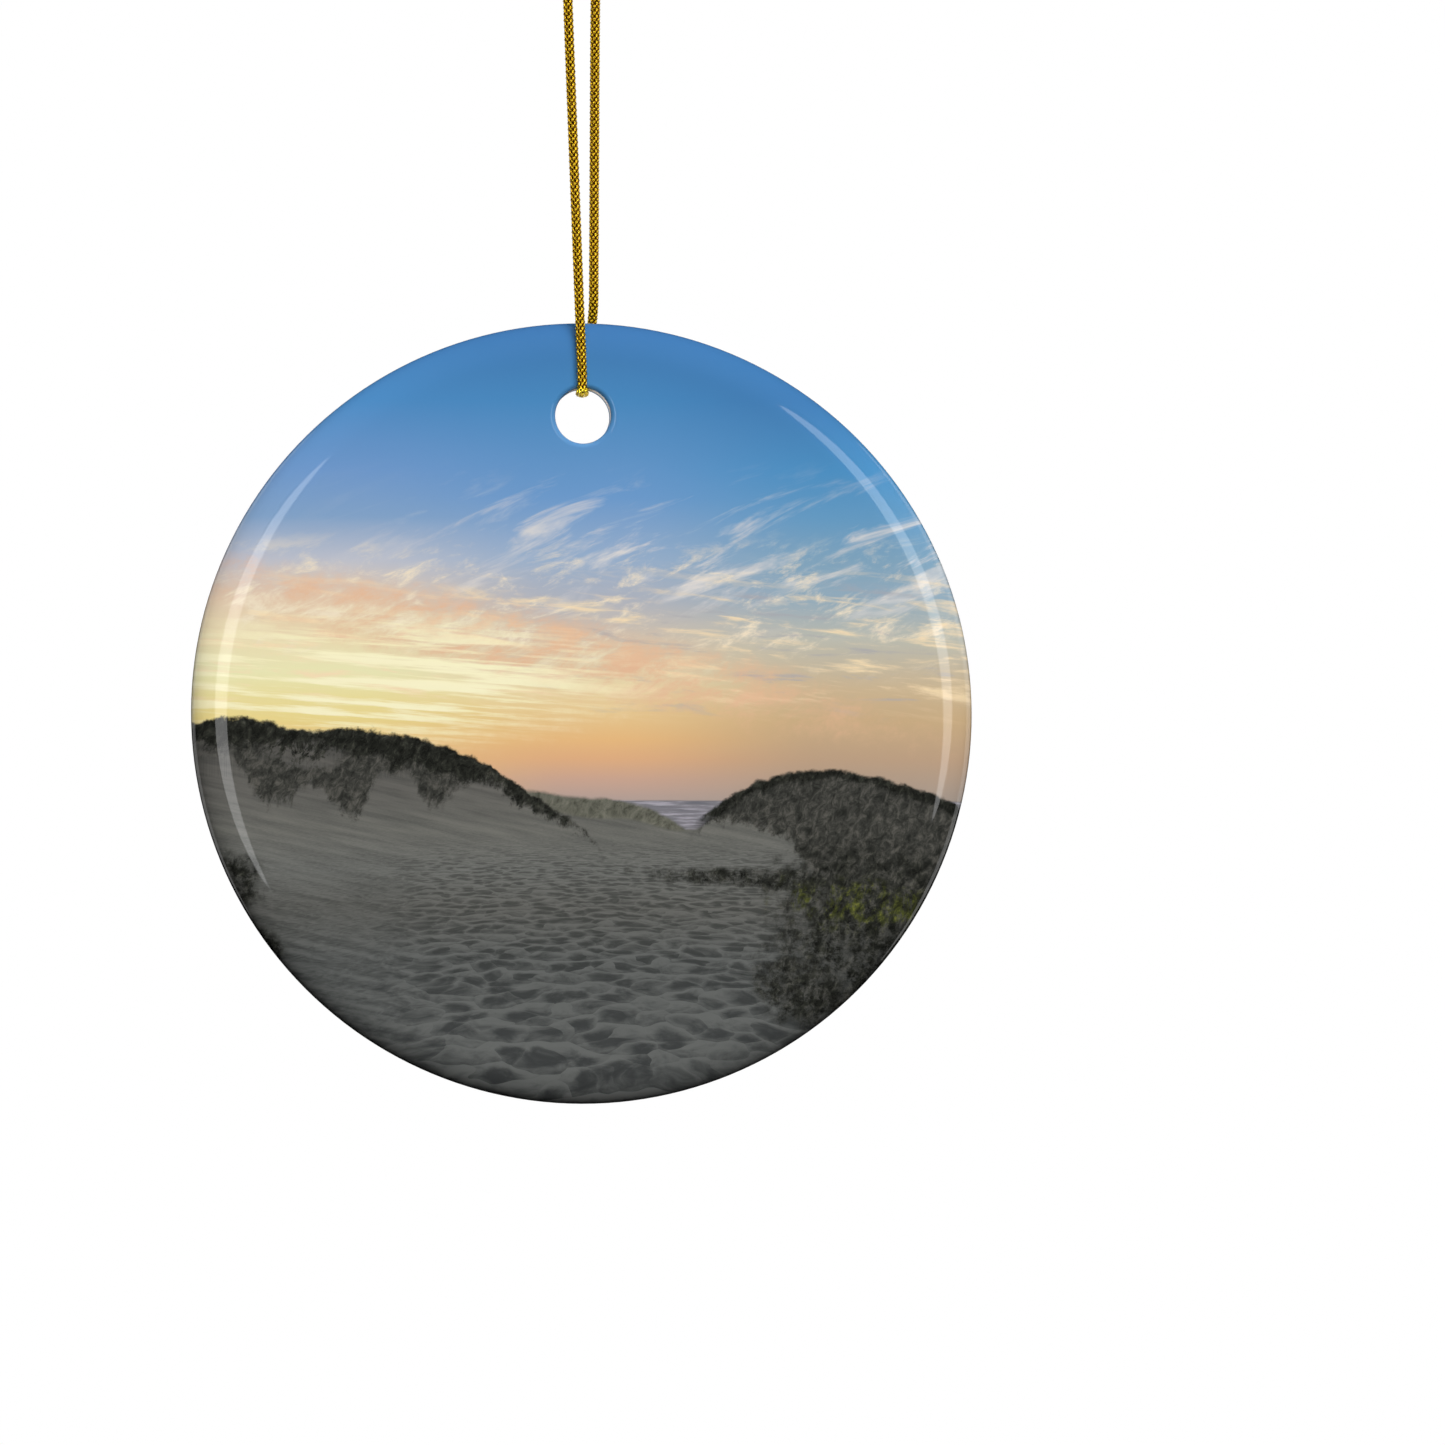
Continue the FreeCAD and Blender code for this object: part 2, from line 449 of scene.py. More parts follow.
def front_surface(name, proud, rim_y, hole_last, through):
    """The front half of the plate, standing proud of the bare ceramic by that much."""
    flat_radius = disc_radius - SHOULDER
    lip_radius = HOLE_RADIUS + HOLE_EDGE
    face_y = -(core_half + proud)
    bpy.ops.object.select_all(action="DESELECT")
    add_circle(disc_centre, flat_radius - FLAT_RING, face_y)
    piece = bpy.context.object
    piece.name = piece.data.name = name
    bpy.ops.object.transform_apply(location=True, rotation=True, scale=True)
    bpy.ops.object.mode_set(mode="EDIT")
    add_circle(hole_centre, lip_radius + FLAT_RING, face_y)
    bpy.ops.mesh.select_all(action="SELECT")
    bpy.ops.mesh.bridge_edge_loops()
    rim_angle = math.acos(min(1.0, -rim_y / (core_half + proud)))
    shoulder = [(flat_radius, face_y)]
    for angle in quarter(SHOULDER_STEPS, rim_angle):
        out = flat_radius + (SHOULDER + proud) * math.sin(angle)
        shoulder.append((out, -(core_half + proud) * math.cos(angle)))
    draw_out(piece, disc_centre, flat_radius - FLAT_RING, face_y, shoulder)
    edge = [(lip_radius, face_y)]
    for angle in quarter(HOLE_STEPS, hole_last):
        inner = lip_radius - (HOLE_EDGE + proud) * math.sin(angle)
        edge.append((inner, -(core_half - HOLE_EDGE) - (HOLE_EDGE + proud) * math.cos(angle)))
    edge += through
    draw_out(piece, hole_centre, lip_radius + FLAT_RING, face_y, edge)
    bpy.ops.mesh.select_all(action="SELECT")
    bpy.ops.mesh.normals_make_consistent(inside=False)
    bpy.ops.object.mode_set(mode="OBJECT")
    widest = max(piece.data.polygons, key=lambda face: face.area)
    if widest.normal.y > 0:
        piece.data.flip_normals()
    return piece


def apply_modifier(piece, kind, **settings):
    bpy.ops.object.select_all(action="DESELECT")
    piece.select_set(True)
    bpy.context.view_layer.objects.active = piece
    bpy.ops.object.modifier_add(type=kind)
    modifier = piece.modifiers[-1]
    for setting, value in settings.items():
        setattr(modifier, setting, value)
    bpy.ops.object.modifier_apply(modifier=modifier.name)


plate = front_surface("ceramic_plate", 0.0, 0.0, math.pi / 2, [(HOLE_RADIUS, 0.0)])
apply_modifier(plate, "MIRROR", use_axis=(False, True, False), merge_threshold=0.002 * MM)
plate.data.shade_smooth()
lip_end = math.acos((1 - COAT_INTO_HOLE) * HOLE_EDGE / (HOLE_EDGE + COAT))
front_coat = front_surface("front_coat", COAT, -PARTING / 2, lip_end, [])
apply_modifier(front_coat, "SOLIDIFY", thickness=COAT, offset=-1.0)
front_coat.data.shade_smooth()
back_coat = bpy.data.objects.new("back_coat", front_coat.data.copy())
bpy.context.collection.objects.link(back_coat)
back_coat.data.transform(Matrix.Scale(-1, 4, (0, 1, 0)))
back_coat.data.flip_normals()
for piece, node_name, slot in (
    (plate, "ceramic_disc", "bare_ceramic"),
    (front_coat, "front_print_coat", "front_print"),
    (back_coat, "back_print_coat", "back_print"),
):
    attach(piece, "disc")
    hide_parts(node_name)
    print(f"{piece.name}: {len(piece.data.polygons)} faces")

# %% [markdown]
# ## One way to build every finish
#
# Each finish is a small network of nodes. Two helpers serve all of them: one turns a
# colour chart's sRGB hex code into the linear colour that shaders work in, and one adds a
# node, sets it up and wires its inputs. Each network then reads from its texture's size in
# real millimetres to the values on the shader.

# %% Helpers for colours and nodes
def colour(code):
    """A hex colour such as #e0b820 as the linear colour and alpha that a shader wants."""
    channels = [int(code[start:start + 2], 16) / 255 for start in (1, 3, 5)]
    linear = [c / 12.92 if c <= 0.04045 else ((c + 0.055) / 1.055) ** 2.4 for c in channels]
    return (*linear, 1.0)


def add_node(tree, kind, inputs=None, output=0, stops=(), line=(), **settings):
    """Add a node and return one of its outputs, or None if it has none.

    Inputs are plain values or other outputs. Stops are a colour ramp's (place, colour)
    pairs and line is a curve's (place, value) pairs.
    """
    node = tree.nodes.new("ShaderNode" + kind)
    for name, value in settings.items():
        setattr(node, name, value)
    for socket, value in (inputs or {}).items():
        if isinstance(value, bpy.types.NodeSocket):
            tree.links.new(value, node.inputs[socket])
        else:
            node.inputs[socket].default_value = value
    for number, (place, tint) in enumerate(stops):
        elements = node.color_ramp.elements
        stop = elements[number] if number < 2 else elements.new(place)
        stop.position = place
        stop.color = colour(tint)
    for number, (place, value) in enumerate(line):
        points = node.mapping.curves[0].points
        point = points[number] if number < 2 else points.new(place, value)
        point.location = (place, value)
    if line:
        node.mapping.update()
    return node.outputs[output] if node.outputs else None


def new_finish(name):
    """A material with an empty network, and that network."""
    finish = bpy.data.materials.new(name)
    finish.use_nodes = True
    finish.node_tree.nodes.clear()
    return finish, finish.node_tree


def wear(finish, *pieces):
    for piece in pieces:
        piece.data.materials.clear()
        piece.data.materials.append(finish)


# %% [markdown]
# ## Gold cord
#
# The real cord is plaited from polyester yarns wrapped in a thin metallised film and
# lacquered yellow. Its crowns shine bright gold and light is lost in the gaps. Both are
# painted into the colour: the stored lift of each point runs from painted shade, dark
# brown, in the gaps to a painted highlight, bright gold, on the crowns. The film's wrinkles are
# finer than can be drawn, so they are drawn a little coarser, as a faint grain 0.15 mm
# across, and the rest of them is the roughness.

# %% Finish the cord
gold, tree = new_finish("gold metallised yarn")
place = add_node(tree, "TexCoord", output=3)
lift = add_node(tree, "Attribute", output=2, attribute_name="lift")
grain = add_node(tree, "TexNoise", {"Vector": place, "Scale": 1 / (0.15 * MM), "Detail": 2.0})
lifted = add_node(tree, "MapRange", {0: grain, 3: -0.05, 4: 0.05})
level = add_node(tree, "Math", {0: lift, 1: lifted}, operation="ADD")
# The ramp is painted light: painted shade, dark brown, where the lift is low in the gaps, up to a painted
# highlight, bright gold, on the crowns.
tint = add_node(tree, "ValToRGB", {0: level}, stops=[
    (0.665, "#1c0e00"), (0.945, "#ffde34"), (0.775, "#3a2003"), (0.855, "#855a0a"), (0.905, "#e6b018"),
])
roughness = add_node(tree, "MapRange", {0: grain, 3: 0.20, 4: 0.35})
shader = add_node(tree, "BsdfPrincipled", {"Base Color": tint, "Metallic": 0.9, "Roughness": roughness})
add_node(tree, "OutputMaterial", {0: shader})
wear(gold, cord_loop, *end_pieces)
print(f"{gold.name}: {len(tree.nodes)} nodes")

# %% [markdown]
# ## Bare ceramic
#
# Only the hole's wall and a hairline round the rim are bare. The slab is pressed from a
# fine white body and fired without glaze, so it is satin, faintly warm, and has a grain
# of about a quarter of a millimetre that the light just picks out.

# %% Finish the bare ceramic
ceramic, tree = new_finish("fired white ceramic")
place = add_node(tree, "TexCoord", output=3)
speckle = add_node(tree, "TexNoise", {"Vector": place, "Scale": 1 / (0.25 * MM), "Detail": 3.0})
tint = add_node(tree, "ValToRGB", {0: speckle}, stops=[(0.35, "#f1e8e4"), (0.65, "#fbf8f5")])
grain = add_node(tree, "Bump", {"Height": speckle, "Distance": 0.02 * MM, "Strength": 0.5})
roughness = add_node(tree, "MapRange", {0: speckle, 3: 0.40, 4: 0.55})
shader = add_node(tree, "BsdfPrincipled", {
    "Base Color": tint, "Roughness": roughness, "IOR": 1.52, "Normal": grain,
})
add_node(tree, "OutputMaterial", {0: shader})
wear(ceramic, plate)
print(f"{ceramic.name}: {len(tree.nodes)} nodes")

# %% [markdown]
# ## The picture, from far to near
#
# The print is a view over sand dunes to the sea at sunset. It is painted the way a stage
# painter would, in flat layers from the farthest to the nearest, each with its colours and
# a mask that says where it shows. The network lives in one group, so both faces share it.
# Its place input runs from -1 to 1 over the plate: across for x, and up for y. Layers that
# share a mask, such as a strip of sky, make it once.

# %% Start the picture's group
picture = bpy.data.node_groups.new("dunes at sunset", "ShaderNodeTree")
picture.interface.new_socket("Place", in_out="INPUT", socket_type="NodeSocketVector")
picture.interface.new_socket("Colour", in_out="OUTPUT", socket_type="NodeSocketColor")
picture_in = picture.nodes.new("NodeGroupInput").outputs[0]
across = add_node(picture, "SeparateXYZ", {0: picture_in})
upward = add_node(picture, "SeparateXYZ", {0: picture_in}, output=1)
ragged = add_node(picture, "TexNoise", {
    "Vector": picture_in, "Scale": 22.0, "Detail": 5.0, "Roughness": 0.65,
})
ragged = add_node(picture, "MapRange", {0: ragged, 1: 0.3, 2: 0.7, 3: -1.0, 4: 1.0}, clamp=False)


def overlap(*masks):
    """Where every mask holds.

    A mask is an output, a number, or (output, start, end), which rises softly from 0 at
    the start to 1 at the end.
    """
    joined = None
    for mask in masks:
        if isinstance(mask, tuple):
            value, start, end = mask
            limits = {0: value, 1: start, 2: end}
            mask = add_node(picture, "MapRange", limits, interpolation_type="SMOOTHSTEP")
        if joined is None:
            joined = mask
        else:
            joined = add_node(picture, "Math", {0: joined, 1: mask}, operation="MULTIPLY")
    return joined


def paint_over(under, over, *masks):
    """Lay one layer of colour over another where every mask holds."""
    layers = {0: overlap(*masks), 6: under, 7: over}
    return add_node(picture, "Mix", layers, output=2, data_type="RGBA")


def by_height(stops, bottom=-0.3, top=1.0):
    """Colours that change with height, given as (height, colour) from the bottom up."""
    height = add_node(picture, "MapRange", {0: upward, 1: bottom, 2: top})
    spread = [((v - bottom) / (top - bottom), code) for v, code in stops]
    return add_node(picture, "ValToRGB", {0: height}, stops=[spread[0], spread[-1], *spread[1:-1]])


def stretched_noise(turn, wide, tall, detail=5.0, roughness=0.6, distortion=0.0, shift=0.0):
    """Noise in wisps: turned anticlockwise in degrees, about that wide and that tall."""
    turned = add_node(picture, "Mapping", {
        "Vector": picture_in, "Rotation": (0, 0, -math.radians(turn)), "Location": (shift, shift, shift),
    })
    sized = add_node(picture, "Mapping", {"Vector": turned, "Scale": (1 / wide, 1 / tall, 1)})
    return add_node(picture, "TexNoise", {
        "Vector": sized, "Scale": 1.0, "Detail": detail, "Roughness": roughness, "Distortion": distortion,
    })


def below_line(points, rough=0.0, soft=0.006):
    """1 below a line through (across, height) points, with a ragged edge that size."""
    line = [((u + 1) / 2, 1 + v) for u, v in points]
    place = add_node(picture, "MapRange", {0: across, 1: -1.0, 2: 1.0})
    crest = add_node(picture, "FloatCurve", {1: place}, line=[line[0], line[-1], *line[1:-1]])
    lowered = add_node(picture, "Math", {0: upward, 1: 1.0}, operation="ADD")
    under = add_node(picture, "Math", {0: crest, 1: lowered}, operation="SUBTRACT")
    edge = add_node(picture, "Math", {0: ragged, 1: rough, 2: under}, operation="MULTIPLY_ADD")
    return overlap((edge, -soft, soft))


def patch(middle, wide, tall, rough=0.35, soft=0.25, turn=0.0):
    """1 inside an oval patch with a ragged edge."""
    moved = add_node(picture, "Mapping", {"Vector": picture_in, "Location": (-middle[0], -middle[1], 0)})
    turned = add_node(picture, "Mapping", {"Vector": moved, "Rotation": (0, 0, -math.radians(turn))})
    sized = add_node(picture, "Mapping", {"Vector": turned, "Scale": (2 / wide, 2 / tall, 0)})
    away = add_node(picture, "VectorMath", {0: sized}, output=1, operation="LENGTH")
    edge = add_node(picture, "Math", {0: ragged, 1: rough, 2: away}, operation="MULTIPLY_ADD")
    return overlap((edge, 1 + soft, 1 - soft))


# %% [markdown]
# The sky is warm at the horizon, most of all at the left where the sun has just set, and
# cools to a deep blue overhead. Three strips of colour by height, one each for the left,
# the middle and the right, melt into each other. Clouds are noise pulled out into wisps.

# %% Paint the sky
sky_left = by_height([
    (-0.10, "#e9c184"), (-0.02, "#ebd78e"), (0.04, "#ecdf9e"), (0.10, "#ece8b6"), (0.19, "#ecdcb2"),
    (0.29, "#e4ceb4"), (0.39, "#bcc0cc"), (0.50, "#83a3c8"), (0.62, "#6f98ca"), (0.80, "#4d89c0"),
    (1.0, "#4074ac"),
])
sky_middle = by_height([
    (-0.22, "#b7a197"), (-0.17, "#cca690"), (-0.12, "#e0ae82"), (-0.07, "#e8ba80"), (0.0, "#e8c890"),
    (0.07, "#ebd9ac"), (0.18, "#d8c6ae"), (0.29, "#b0b4bf"), (0.39, "#98afcb"), (0.55, "#6d9acb"),
    (0.80, "#4a88bd"), (1.0, "#4074ac"),
])
sky_right = by_height([
    (-0.22, "#a99a8e"), (-0.12, "#bda084"), (-0.02, "#c9ac84"), (0.06, "#ccb592"), (0.19, "#bcbcb0"),
    (0.29, "#94acbc"), (0.39, "#80a4bd"), (0.50, "#659ac2"), (0.62, "#4e8fc1"), (0.80, "#4279af"),
    (1.0, "#3d70a8"),
])
colours = paint_over(sky_middle, sky_left, (across, -0.02, -0.62))
colours = paint_over(colours, sky_right, (across, 0.05, 0.65))
wisps = stretched_noise(22, 0.30, 0.06, distortion=0.6)
high_window = overlap((upward, 0.16, 0.34), (upward, 0.66, 0.44), (across, -0.8, 0.1))
colours = paint_over(colours, colour("#e2dcd6"), (wisps, 0.50, 0.72), high_window)
puffs = stretched_noise(16, 0.15, 0.055, detail=6.0, roughness=0.7, distortion=0.4, shift=11.0)
puff_window = overlap((upward, 0.06, 0.20), (upward, 0.48, 0.34))
colours = paint_over(colours, colour("#f2e3c8"), (puffs, 0.50, 0.72), puff_window)
low_wisps = stretched_noise(-5, 0.24, 0.035, detail=6.0, distortion=0.4, shift=3.0)
low_window = overlap((upward, -0.04, 0.08), (upward, 0.42, 0.22))
colours = paint_over(colours, colour("#f6dfb6"), (low_wisps, 0.50, 0.70), low_window)
shade = overlap((low_wisps, 0.46, 0.28), low_window, (across, -0.4, 0.2))
colours = paint_over(colours, colour("#a9a7ae"), shade)
band = patch((-0.15, 0.17), 1.5, 0.16, rough=0.25, soft=0.6, turn=-12)
colours = paint_over(colours, colour("#e6b996"), band, (puffs, 0.66, 0.34))
glow_streaks = stretched_noise(-4, 0.5, 0.03, detail=6.0, shift=7.0)
glow = patch((-0.55, 0.08), 1.1, 0.28, rough=0.1, soft=0.5)
colours = paint_over(colours, colour("#fbf4cc"), glow, (glow_streaks, 0.44, 0.58))
print(f"the sky takes {len(picture.nodes)} nodes")

# %% [markdown]
# Under the horizon come the sea, a far dune, the sand, and the growth on the dunes. The
# sand is lit flatly after sunset. Where people walked it is all dimples, each darker on
# the side towards the viewer's horizon; they are cells on the ground seen in perspective,
# which only takes dividing each place by its distance below the horizon.

# %% Paint the sea, the sand and the dunes
sea = add_node(picture, "ValToRGB", {0: stretched_noise(0, 0.12, 0.008)}, stops=[
    (0.38, "#6f6f76"), (0.62, "#a7a3ac"), (0.5, "#7f7d83"),
])
colours = paint_over(colours, sea, below_line([(-1, -0.226), (1, -0.226), (0, -0.226)], soft=0.003))
growth = stretched_noise(60, 0.030, 0.020, detail=6.0, roughness=0.75, distortion=0.5)
far_green = add_node(picture, "ValToRGB", {0: growth}, stops=[(0.35, "#4a4b42"), (0.65, "#77766a")])
colours = paint_over(colours, far_green, below_line([
    (-1, -0.2), (-0.15, -0.2), (-0.05, -0.215), (0.1, -0.228), (0.2, -0.26), (0.27, -0.30),
    (0.4, -0.33), (1, -0.33),
], rough=0.004))

HORIZON = -0.12
depth = add_node(picture, "Math", {0: HORIZON, 1: upward}, operation="SUBTRACT")
depth = add_node(picture, "Math", {0: depth, 1: 0.05}, operation="MAXIMUM")
ground_x = add_node(picture, "Math", {0: across, 1: depth}, operation="DIVIDE")
ground_y = add_node(picture, "Math", {0: 1.7, 1: depth}, operation="DIVIDE")
ground = add_node(picture, "CombineXYZ", {0: ground_x, 1: ground_y})
drift = add_node(picture, "TexNoise", {"Vector": ground, "Scale": 4.0, "Detail": 2.0}, output=1)
drifted = {0: drift, 1: (0.22, 0.22, 0.0), 2: ground}
ground = add_node(picture, "VectorMath", drifted, operation="MULTIPLY_ADD")
cell_size = {"Vector": ground, "Scale": 8.5}
dimple = add_node(picture, "TexVoronoi", cell_size, voronoi_dimensions="2D")
chance = add_node(picture, "TexVoronoi", cell_size, output=1, voronoi_dimensions="2D")
chance = add_node(picture, "SeparateXYZ", {0: chance})
depth_of_dimple = overlap((dimple, 0.68, 0.20), (chance, 0.0, 0.7))
middle_of_cell = add_node(picture, "TexVoronoi", cell_size, output=2, voronoi_dimensions="2D")
slope = add_node(picture, "VectorMath", {0: middle_of_cell, 1: ground}, operation="SUBTRACT")
slope = add_node(picture, "SeparateXYZ", {0: slope}, output=1)
slope = add_node(picture, "MapRange", {0: slope, 1: -0.08, 2: 0.08, 3: 0.78, 4: 0.42})
slope = add_node(picture, "Math", {0: depth_of_dimple, 1: -0.36, 2: slope}, operation="MULTIPLY_ADD")
fine = add_node(picture, "TexNoise", {"Vector": ground, "Scale": 22.0, "Detail": 4.0, "Roughness": 0.6})
streaks = stretched_noise(-12, 0.25, 0.02, shift=5.0)
walked = overlap((across, -0.62, -0.30), (upward, -0.30, -0.42), (across, 0.75, 0.45))
relief = add_node(picture, "Mix", {0: walked, 2: streaks, 3: slope})
relief = add_node(picture, "Mix", {0: 0.4, 2: relief, 3: fine})
sand_dark = by_height([
    (-1.0, "#3b3d3d"), (-0.84, "#404242"), (-0.63, "#3f4140"), (-0.50, "#484946"), (-0.40, "#525350"),
    (-0.30, "#595a56"), (-0.20, "#4e4e4b"), (-0.1, "#454543"),
], bottom=-1.0, top=-0.1)
sand_light = by_height([
    (-1.0, "#686a68"), (-0.84, "#686a68"), (-0.63, "#666866"), (-0.50, "#696965"), (-0.40, "#747571"),
    (-0.30, "#76756f"), (-0.20, "#6d6b66"), (-0.1, "#5f5d58"),
], bottom=-1.0, top=-0.1)
sand = paint_over(sand_dark, sand_light, (relief, 0.30, 0.66))
colours = paint_over(colours, sand, below_line([
    (-1, -0.05), (-0.70, -0.07), (-0.47, -0.082), (-0.31, -0.122), (-0.21, -0.172), (-0.11, -0.24),
    (0.0, -0.27), (0.12, -0.275), (0.27, -0.303), (0.34, -0.265), (0.46, -0.20), (0.64, -0.17), (0.87, -0.22),
    (1, -0.27),
]))
dark_growth = add_node(picture, "ValToRGB", {0: growth}, stops=[
    (0.34, "#161714"), (0.70, "#4e4e46"), (0.50, "#242521"), (0.60, "#363731"),
])
scrub = add_node(picture, "ValToRGB", {0: growth}, stops=[
    (0.36, "#262724"), (0.66, "#5e5c56"), (0.5, "#3e3e3a"),
])
left_top = below_line([
    (-1, -0.03), (-0.89, -0.02), (-0.70, -0.052), (-0.61, -0.045), (-0.47, -0.062), (-0.31, -0.108),
    (-0.21, -0.16), (-0.11, -0.225), (0.01, -0.31), (0.1, -0.40), (1, -0.5),
], rough=0.010)
left_bottom = below_line([
    (-1, -0.10), (-0.90, -0.12), (-0.79, -0.24), (-0.69, -0.20), (-0.59, -0.27), (-0.51, -0.15),
    (-0.44, -0.17), (-0.38, -0.25), (-0.30, -0.18), (-0.12, -0.26), (0.01, -0.31), (0.1, -0.42), (1, -0.5),
], rough=0.015, soft=0.11)
bushes = stretched_noise(70, 0.07, 0.045, detail=8.0, roughness=0.8, distortion=0.4, shift=4.0)


def thinning(bottom):
    """Growth that is full above a soft line and thins out into clumps below it."""
    spare = add_node(picture, "Math", {0: bushes, 1: bottom}, operation="SUBTRACT")
    return overlap((spare, -0.10, 0.13))


left_crest = below_line([
    (-1, -0.10), (-0.89, -0.09), (-0.70, -0.12), (-0.61, -0.115), (-0.47, -0.135), (-0.31, -0.18),
    (-0.21, -0.225), (-0.11, -0.28), (0.01, -0.36), (0.1, -0.45), (1, -0.55),
], rough=0.02, soft=0.07)
left_growth = overlap(left_top, thinning(left_bottom), (across, 0.06, 0.0))
colours = paint_over(colours, scrub, left_growth)
colours = paint_over(colours, dark_growth, left_growth, thinning(left_crest))
bare_cap = patch((-0.72, -0.11), 0.22, 0.07, rough=0.3, turn=-5)
colours = paint_over(colours, sand, bare_cap, (bushes, 0.55, 0.45))
right_top = below_line([
    (-1, -0.8), (0.2, -0.34), (0.27, -0.30), (0.34, -0.24), (0.46, -0.175), (0.56, -0.152), (0.64, -0.148),
    (0.74, -0.163), (0.87, -0.20), (1, -0.25),
], rough=0.008)
right_bottom = below_line([
    (-1, -0.8), (0.2, -0.32), (0.3, -0.27), (0.42, -0.29), (0.52, -0.32), (0.6, -0.42),
    (0.8, -0.46), (1, -0.5),
], rough=0.02, soft=0.10)
colours = paint_over(colours, scrub, right_top, thinning(right_bottom), (across, 0.22, 0.30))
right_crest = below_line([
    (-1, -0.8), (0.2, -0.36), (0.27, -0.33), (0.34, -0.27), (0.46, -0.20), (0.56, -0.175), (0.64, -0.17),
    (0.74, -0.185), (0.87, -0.23), (1, -0.28),
], rough=0.01, soft=0.05)
colours = paint_over(colours, dark_growth, right_top, thinning(right_crest), (across, 0.26, 0.34))

# %% [markdown]
# Last come the nearest shrubs at the right, with a patch that has caught the last light,
# and a few sprigs at the left edge.

# %% Paint the nearest shrubs and close the group
clumps = add_node(picture, "TexNoise", {
    "Vector": picture_in, "Scale": 26.0, "Detail": 6.0, "Roughness": 0.78,
})
clumps = overlap((clumps, 0.41, 0.57))
UNDERCOAT = 0.65
for middle, wide, tall, turn in (
    ((0.54, -0.43), 0.66, 0.05, -3),
    ((0.76, -0.46), 0.5, 0.22, -8),
    ((0.70, -0.60), 0.42, 0.34, 30),
    ((0.56, -0.72), 0.24, 0.14, -20),
    ((-0.90, -0.44), 0.14, 0.14, -30),
    ((-0.84, -0.60), 0.16, 0.10, -35),
):
    shrub = patch(middle, wide, tall, rough=0.3, soft=0.4, turn=turn)
    colours = paint_over(colours, scrub, shrub, UNDERCOAT)
    colours = paint_over(colours, dark_growth, shrub, clumps)
leaves = add_node(picture, "ValToRGB", {0: growth}, stops=[
    (0.40, "#2c2e1a"), (0.70, "#84863c"), (0.54, "#4c5128"),
])
lit_patch = patch((0.71, -0.49), 0.34, 0.10, rough=0.5, soft=0.5, turn=-4)
colours = paint_over(colours, leaves, lit_patch, (bushes, 0.47, 0.58))
picture_out = picture.nodes.new("NodeGroupOutput")
picture.links.new(colours, picture_out.inputs[0])
print(f"the picture takes {len(picture.nodes)} nodes")

# %% [markdown]
# ## Glossy printed coats
#
# The picture is sublimated into a clear polyester coat, which is what makes the face so
# glossy: its index is that of polyester and its surface is nearly a mirror. A tiny change
# of roughness stands for handling. The back's picture is mirrored across, so that it reads
# the right way round from behind.

# %% Finish the two coats
PRINT_RADIUS = 35 * MM
for coat, name, way in ((front_coat, "front print", 1), (back_coat, "back print", -1)):
    finish, tree = new_finish(name)
    place = add_node(tree, "TexCoord", output=3)
    unit = 1 / PRINT_RADIUS
    placed = add_node(tree, "Mapping", {
        "Vector": place, "Scale": (way * unit, 0, unit), "Rotation": (-math.pi / 2, 0, 0),
        "Location": (0, -disc_centre.z * unit, 0),
    })
    painted = add_node(tree, "Group", {0: placed}, node_tree=picture)
    smears = add_node(tree, "TexNoise", {"Vector": place, "Scale": 1 / (9 * MM), "Detail": 2.0})
    roughness = add_node(tree, "MapRange", {0: smears, 3: 0.02, 4: 0.05})
    shader = add_node(tree, "BsdfPrincipled", {
        "Base Color": painted, "Roughness": roughness, "IOR": 1.5,
    })
    add_node(tree, "OutputMaterial", {0: shader})
    wear(finish, coat)
    print(f"{coat.name} wears {finish.name}")

# %% [markdown]
# ## Stage and light
#
# A small pale floor lies well below the hanging plate. It glows faintly and gives no light
# to the plate, so that it can't tint the print. Large soft lamps show the print's own
# colours. The gloss is drawn by separate windows, because a polished shoulder shows each
# one as a sharp bright arc: one left of the lens, one right of it, and a tall panel at each
# side for the rim. A braid of metal mirrors whatever is round it and goes black with nothing
# there, so four more lamps shine on the cord alone, and one on the bare wall of the hole. On
# the whole object these would add false arcs and wash out the print, and light linking keeps
# them off it.

# %% Lay the floor and hang the lights
FLOOR_RADIUS = 0.8
FLOOR_DROP = 0.12
bpy.ops.object.select_all(action="DESELECT")
bpy.ops.mesh.primitive_circle_add(
    vertices=96, radius=FLOOR_RADIUS, fill_type="NGON", location=(0, 0, low.z - FLOOR_DROP),
)
floor = bpy.context.object
floor.name = "floor"
floor.visible_glossy = False
floor.visible_diffuse = False
paper, tree = new_finish("pale paper")
place = add_node(tree, "TexCoord", output=3)
fibres = add_node(tree, "TexNoise", {"Vector": place, "Scale": 1 / (12 * MM), "Detail": 3.0})
tint = add_node(tree, "ValToRGB", {0: fibres}, stops=[(0.3, "#f3f3f1"), (0.7, "#f9f9f8")])
shader = add_node(tree, "BsdfPrincipled", {
    "Base Color": tint, "Roughness": 0.9, "Emission Color": tint, "Emission Strength": 0.45,
})
add_node(tree, "OutputMaterial", {0: shader})
wear(paper, floor)
scene = bpy.context.scene
scene.view_settings.view_transform = "Standard"
scene.view_settings.look = "None"
world = bpy.data.worlds.new("soft room")
scene.world = world
world.use_nodes = True
world.node_tree.nodes["Background"].inputs["Color"].default_value = (1, 1, 1, 1)
world.node_tree.nodes["Background"].inputs["Strength"].default_value = 1.0
world.cycles_visibility.diffuse = False
world.cycles_visibility.glossy = False
lit_only = {}
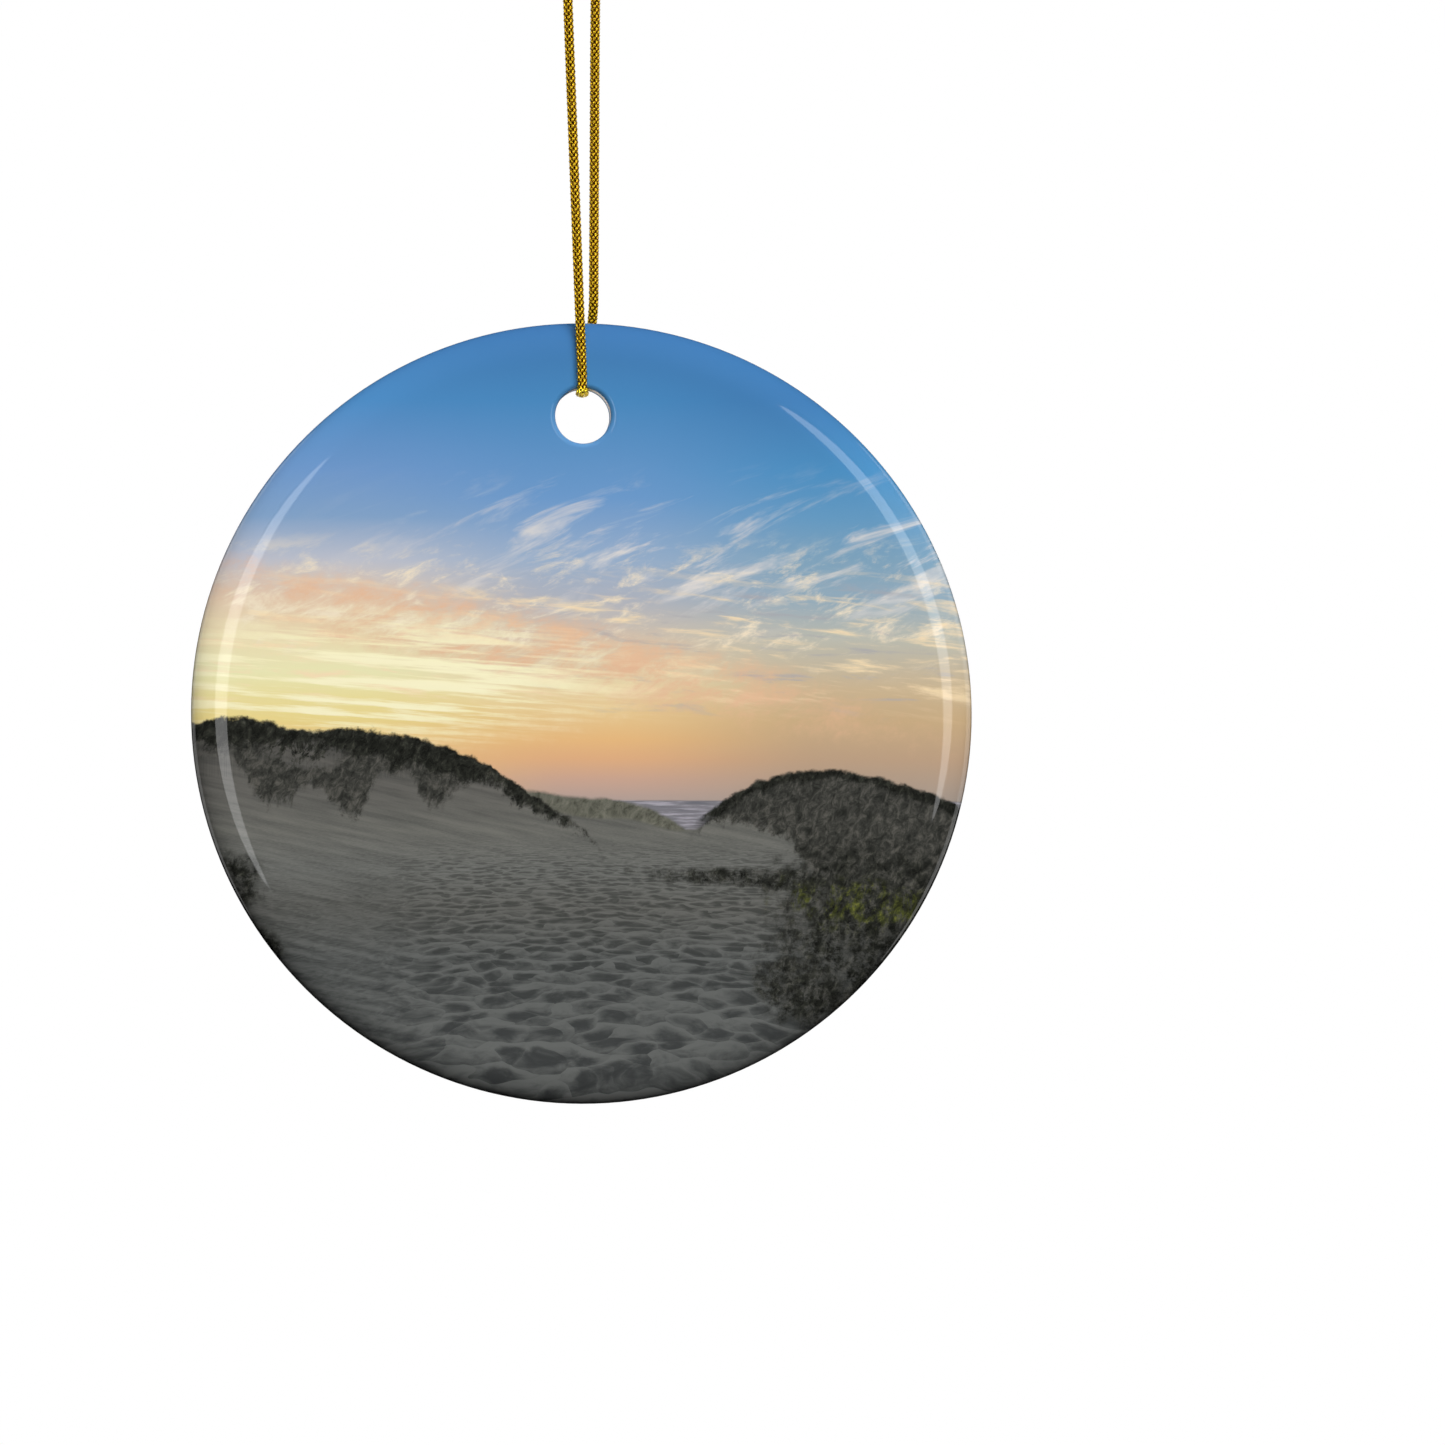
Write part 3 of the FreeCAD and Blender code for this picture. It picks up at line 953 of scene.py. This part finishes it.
for name, pieces in (("gold", (cord_loop, *end_pieces)), ("wall", (plate,))):
    lit_only[name] = bpy.data.collections.new(name)
    for piece in pieces:
        lit_only[name].objects.link(piece)
LAMP_DISTANCE = 1.4
# Azimuth, elevation, width, height and roll in degrees as seen from the plate, then how
# bright the lamp's face is, and what it is for.
LAMPS = {
    "left_window": (-10.8, 4.9, 18, 16, 7.5, 2.9, "gloss"),
    "right_window": (22.1, 10.0, 17, 26, 18, 3.0, "gloss"),
    "left_panel": (-105, 10, 40, 80, 0, 1.2, "gloss"),
    "right_panel": (95, 5, 40, 80, 0, 1.4, "gloss"),
    "key": (14, 38, 45, 40, 0, 7.6, "fill"),
    "front_fill": (5, 10, 60, 50, 0, 1.15, "fill"),
    "back_fill": (175, 20, 80, 60, 0, 2.6, "fill"),
    "low_back": (203, -26, 50, 50, 0, 3.0, "fill"),
    "gold_left": (-48, 8, 34, 90, 0, 0.8, "gold"),
    "gold_right": (44, 8, 34, 90, 0, 0.8, "gold"),
    "gold_back": (170, 8, 60, 90, 0, 0.9, "gold"),
    "gold_low": (-5, -55, 60, 34, 0, 7.0, "gold"),
    "wall_card": (-40, -32, 50, 50, 0, 10.0, "wall"),
}
for name, (azimuth, elevation, wide, tall, roll, radiance, use) in LAMPS.items():
    lamp = bpy.data.objects.new(name, bpy.data.lights.new(name, "AREA"))
    bpy.context.collection.objects.link(lamp)
    lamp.location = disc_centre + direction(math.radians(azimuth), math.radians(elevation)) * LAMP_DISTANCE
    face_towards(lamp, disc_centre)
    lamp.rotation_euler.rotate_axis("Z", math.radians(roll))
    lamp.data.shape = "ELLIPSE"
    lamp.data.size = 2 * LAMP_DISTANCE * math.tan(math.radians(wide / 2))
    lamp.data.size_y = 2 * LAMP_DISTANCE * math.tan(math.radians(tall / 2))
    face_area = math.pi / 4 * lamp.data.size * lamp.data.size_y
    lamp.data.energy = radiance * math.pi * face_area
    lamp.visible_camera = False
    lamp.visible_diffuse = use in ("fill", "wall")
    lamp.visible_glossy = use in ("gloss", "gold")
    lamp.light_linking.receiver_collection = lit_only.get(use)
    print(f"{name}: {lamp.data.energy:.1f} W")
